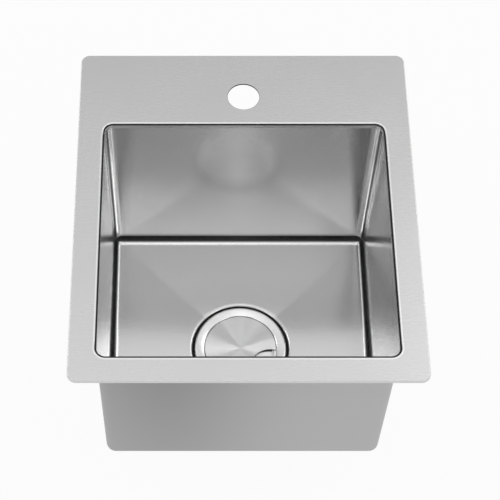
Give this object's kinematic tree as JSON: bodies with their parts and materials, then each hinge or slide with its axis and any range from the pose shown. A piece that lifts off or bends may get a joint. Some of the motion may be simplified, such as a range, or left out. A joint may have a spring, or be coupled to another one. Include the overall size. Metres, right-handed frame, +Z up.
{
  "type": "compact kitchen sink",
  "caption": "Drop-in single-bowl kitchen sink of satin steel with a rear tap deck, a deep square bowl, a capped basket strainer, a waste tailpiece and swing-out worktop clips.",
  "frame": {"origin": "centre of the rim's outline, in the plane of the worktop that the rim lies on", "axes": "+Z up, +Y towards the tap deck at the back, +X to the right seen from the front"},
  "size_m": [0.38, 0.43, 0.4067],
  "materials": {
    "satin_steel": "satin",
    "polished_steel": "polished",
    "turned_steel": "turned",
    "basket_steel": "bright",
    "dark_plastic": "satin",
    "zinc_steel": "zinc plated",
    "seal_foam": "closed-cell foam",
    "pad_rubber": "matt",
    "black_rubber": "matt",
    "white_plastic": "matt",
    "cast_nut": "satin plated",
    "chrome_tube": "bright plated",
    "brass": "machined"
  },
  "bodies": {
    "sink": {"deck_rim": "satin_steel", "sink_bowl": "satin_steel", "rim_seal": "seal_foam", "clip_rail_right": "zinc_steel", "clip_rail_left": "zinc_steel", "clip_rail_back": "zinc_steel", "sound_pad_right": "pad_rubber", "sound_pad_left": "pad_rubber", "sound_pad_back": "pad_rubber", "sound_pad_floor_left": "pad_rubber", "sound_pad_floor_right": "pad_rubber", "strainer_body": "polished_steel", "flange_gasket": "black_rubber", "under_gasket": "black_rubber", "friction_ring": "white_plastic", "lock_nut": "cast_nut", "tail_washer": "white_plastic", "tailpiece": "chrome_tube", "coupling_nut": "cast_nut"},
    "basket": {"basket": "basket_steel", "basket_post": "basket_steel", "basket_knob": "dark_plastic", "basket_stopper": "black_rubber", "stopper_nut": "brass"},
    "cap": {"drain_cap": "turned_steel"},
    "bolt_right_front": {"clip_bolt_right_front": "zinc_steel"},
    "claw_right_front": {"clip_claw_right_front": "zinc_steel"},
    "nut_right_front": {"clip_nut_right_front": "zinc_steel"},
    "bolt_right_rear": {"clip_bolt_right_rear": "zinc_steel"},
    "claw_right_rear": {"clip_claw_right_rear": "zinc_steel"},
    "nut_right_rear": {"clip_nut_right_rear": "zinc_steel"},
    "bolt_left_front": {"clip_bolt_left_front": "zinc_steel"},
    "claw_left_front": {"clip_claw_left_front": "zinc_steel"},
    "nut_left_front": {"clip_nut_left_front": "zinc_steel"},
    "bolt_left_rear": {"clip_bolt_left_rear": "zinc_steel"},
    "claw_left_rear": {"clip_claw_left_rear": "zinc_steel"},
    "nut_left_rear": {"clip_nut_left_rear": "zinc_steel"},
    "bolt_back_left": {"clip_bolt_back_left": "zinc_steel"},
    "claw_back_left": {"clip_claw_back_left": "zinc_steel"},
    "nut_back_left": {"clip_nut_back_left": "zinc_steel"},
    "bolt_back_right": {"clip_bolt_back_right": "zinc_steel"},
    "claw_back_right": {"clip_claw_back_right": "zinc_steel"},
    "nut_back_right": {"clip_nut_back_right": "zinc_steel"}
  },
  "joints": [
    {"name": "basket_lift", "type": "slide", "parent": "sink", "child": "basket", "axis": [0, 0, 1], "range_m": [0, 0.33]},
    {"name": "cap_lift", "type": "slide", "parent": "basket", "child": "cap", "axis": [0, 0, 1], "range_m": [0, 0.26]},
    {"name": "clip_swing_right_front", "type": "hinge", "parent": "sink", "child": "bolt_right_front", "pos_m": [0.1705, -0.125, -0.0063], "axis": [0, 0, 1], "range_deg": [0, 90]},
    {"name": "clip_clamp_right_front", "type": "slide", "parent": "bolt_right_front", "child": "claw_right_front", "axis": [0, 0, 1], "range_m": [0, 0.026]},
    {"name": "clip_nut_turn_right_front", "type": "hinge", "parent": "claw_right_front", "child": "nut_right_front", "pos_m": [0.1705, -0.125, -0.0485], "axis": [0, 0, 1], "range_deg": [0, 9360]},
    {"name": "clip_swing_right_rear", "type": "hinge", "parent": "sink", "child": "bolt_right_rear", "pos_m": [0.1705, 0.055, -0.0063], "axis": [0, 0, 1], "range_deg": [0, 90]},
    {"name": "clip_clamp_right_rear", "type": "slide", "parent": "bolt_right_rear", "child": "claw_right_rear", "axis": [0, 0, 1], "range_m": [0, 0.026]},
    {"name": "clip_nut_turn_right_rear", "type": "hinge", "parent": "claw_right_rear", "child": "nut_right_rear", "pos_m": [0.1705, 0.055, -0.0485], "axis": [0, 0, 1], "range_deg": [0, 9360]},
    {"name": "clip_swing_left_front", "type": "hinge", "parent": "sink", "child": "bolt_left_front", "pos_m": [-0.1705, -0.125, -0.0063], "axis": [0, 0, 1], "range_deg": [0, 90]},
    {"name": "clip_clamp_left_front", "type": "slide", "parent": "bolt_left_front", "child": "claw_left_front", "axis": [0, 0, 1], "range_m": [0, 0.026]},
    {"name": "clip_nut_turn_left_front", "type": "hinge", "parent": "claw_left_front", "child": "nut_left_front", "pos_m": [-0.1705, -0.125, -0.0485], "axis": [0, 0, 1], "range_deg": [0, 9360]},
    {"name": "clip_swing_left_rear", "type": "hinge", "parent": "sink", "child": "bolt_left_rear", "pos_m": [-0.1705, 0.055, -0.0063], "axis": [0, 0, 1], "range_deg": [0, 90]},
    {"name": "clip_clamp_left_rear", "type": "slide", "parent": "bolt_left_rear", "child": "claw_left_rear", "axis": [0, 0, 1], "range_m": [0, 0.026]},
    {"name": "clip_nut_turn_left_rear", "type": "hinge", "parent": "claw_left_rear", "child": "nut_left_rear", "pos_m": [-0.1705, 0.055, -0.0485], "axis": [0, 0, 1], "range_deg": [0, 9360]},
    {"name": "clip_swing_back_left", "type": "hinge", "parent": "sink", "child": "bolt_back_left", "pos_m": [-0.11, 0.1955, -0.0063], "axis": [0, 0, 1], "range_deg": [0, 90]},
    {"name": "clip_clamp_back_left", "type": "slide", "parent": "bolt_back_left", "child": "claw_back_left", "axis": [0, 0, 1], "range_m": [0, 0.026]},
    {"name": "clip_nut_turn_back_left", "type": "hinge", "parent": "claw_back_left", "child": "nut_back_left", "pos_m": [-0.11, 0.1955, -0.0485], "axis": [0, 0, 1], "range_deg": [0, 9360]},
    {"name": "clip_swing_back_right", "type": "hinge", "parent": "sink", "child": "bolt_back_right", "pos_m": [0.11, 0.1955, -0.0063], "axis": [0, 0, 1], "range_deg": [0, 90]},
    {"name": "clip_clamp_back_right", "type": "slide", "parent": "bolt_back_right", "child": "claw_back_right", "axis": [0, 0, 1], "range_m": [0, 0.026]},
    {"name": "clip_nut_turn_back_right", "type": "hinge", "parent": "claw_back_right", "child": "nut_back_right", "pos_m": [0.11, 0.1955, -0.0485], "axis": [0, 0, 1], "range_deg": [0, 9360]}
  ],
  "couplings": [
    {"joint": "clip_nut_turn_right_front", "follows": "clip_clamp_right_front", "rad_per_m": 6283.2},
    {"joint": "clip_nut_turn_right_rear", "follows": "clip_clamp_right_rear", "rad_per_m": 6283.2},
    {"joint": "clip_nut_turn_left_front", "follows": "clip_clamp_left_front", "rad_per_m": 6283.2},
    {"joint": "clip_nut_turn_left_rear", "follows": "clip_clamp_left_rear", "rad_per_m": 6283.2},
    {"joint": "clip_nut_turn_back_left", "follows": "clip_clamp_back_left", "rad_per_m": 6283.2},
    {"joint": "clip_nut_turn_back_right", "follows": "clip_clamp_back_right", "rad_per_m": 6283.2}
  ]
}
